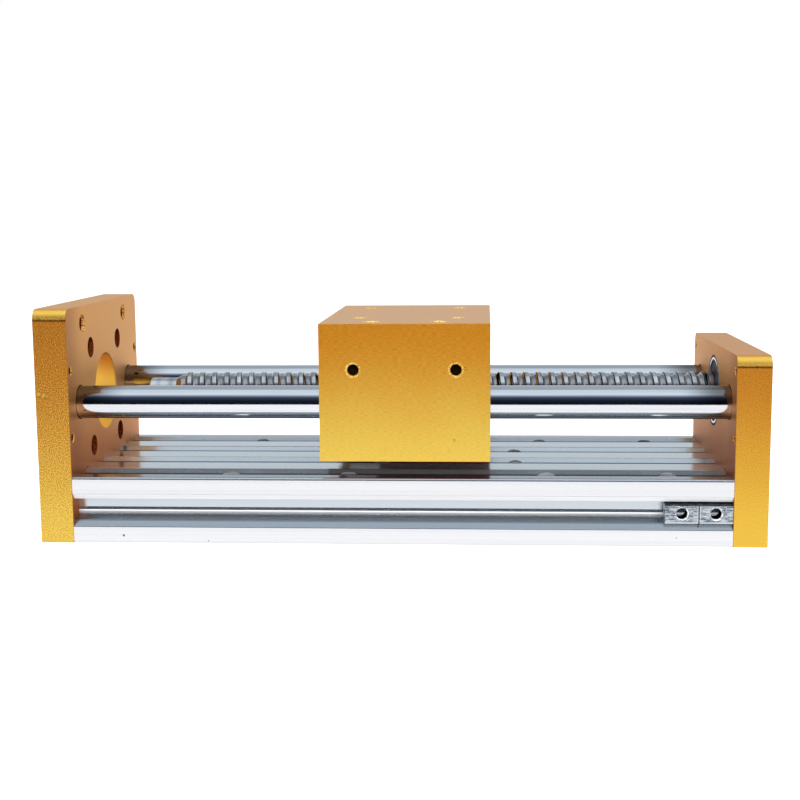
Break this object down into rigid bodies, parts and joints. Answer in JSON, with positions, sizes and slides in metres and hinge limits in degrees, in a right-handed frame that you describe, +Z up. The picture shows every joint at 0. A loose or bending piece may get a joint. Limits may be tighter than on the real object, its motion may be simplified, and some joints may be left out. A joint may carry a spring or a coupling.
{
  "type": "ball screw linear module",
  "caption": "Short linear stage: a tall carriage block driven by a ball screw between two round guide rods, on a wide slot profile with a motor plate and a bearing plate.",
  "frame": {"origin": "middle of the slot profile's underside, level with the underside of both end plates", "axes": "+X along the screw to the bearing plate, +Y to the back, +Z up from the base to the carriage's top"},
  "size_m": [0.215, 0.08, 0.07],
  "materials": {
    "gold_anodised": "gold anodised, bead blasted",
    "clear_anodised": "clear anodised extrusion",
    "bright_steel": "hard chromed or ground bearing steel",
    "screw_steel": "rolled and hardened steel",
    "black_steel": "black oxide",
    "zinc_steel": "zinc plated",
    "nut_steel": "ground steel",
    "seal_rubber": "black nitrile rubber",
    "white_plastic": "white acetal",
    "cage_brass": "pressed cage"
  },
  "bodies": {
    "frame": {"base_profile": "clear_anodised", "motor_plate": "gold_anodised", "bearing_plate": "gold_anodised", "front_rod": "bright_steel", "rear_rod": "bright_steel", "rod_screws": "black_steel", "plate_screws": "black_steel", "bearing_outer_race": "bright_steel", "bearing_seals": "seal_rubber"},
    "screw": {"ball_screw": "screw_steel", "bearing_inner_race": "bright_steel", "screw_spacer": "black_steel", "screw_retaining_ring": "black_steel"},
    "bearing_ball_row": {"bearing_ball_set": "bright_steel", "bearing_cage": "cage_brass"},
    "carriage": {"carriage_block": "gold_anodised", "ball_nut": "nut_steel", "nut_screws": "black_steel", "nut_wipers": "white_plastic", "nut_deflectors": "white_plastic", "nut_balls": "bright_steel", "front_bush_sleeve": "bright_steel", "rear_bush_sleeve": "bright_steel", "front_bush_retainer": "white_plastic", "rear_bush_retainer": "white_plastic", "front_bush_balls": "bright_steel", "rear_bush_balls": "bright_steel", "bush_end_rings": "seal_rubber", "bush_snap_rings": "black_steel"},
    "inner_slot_nut": {"inner_slot_nut": "zinc_steel"},
    "outer_slot_nut": {"outer_slot_nut": "zinc_steel"}
  },
  "joints": [
    {"name": "carriage_slide", "type": "slide", "parent": "frame", "child": "carriage", "axis": [1, 0, 0], "range_m": [-0.05, 0.066]},
    {"name": "screw_spin", "type": "hinge", "parent": "frame", "child": "screw", "pos_m": [0, 0, 0.041], "axis": [1, 0, 0], "range_deg": [-5945, 4505]},
    {"name": "bearing_ball_orbit", "type": "hinge", "parent": "frame", "child": "bearing_ball_row", "pos_m": [0, 0, 0.041], "axis": [1, 0, 0], "range_deg": [-2202, 1668]},
    {"name": "inner_slot_nut_slide", "type": "slide", "parent": "frame", "child": "inner_slot_nut", "axis": [1, 0, 0], "range_m": [-0.17, 0]},
    {"name": "outer_slot_nut_slide", "type": "slide", "parent": "frame", "child": "outer_slot_nut", "axis": [1, 0, 0], "range_m": [-0.1701, 0]}
  ],
  "couplings": [
    {"joint": "screw_spin", "follows": "carriage_slide", "rad_per_m": -1570.8},
    {"joint": "bearing_ball_orbit", "follows": "carriage_slide", "rad_per_m": -581.35},
    {"joint": "outer_slot_nut_slide", "follows": "inner_slot_nut_slide", "ratio": 1}
  ]
}
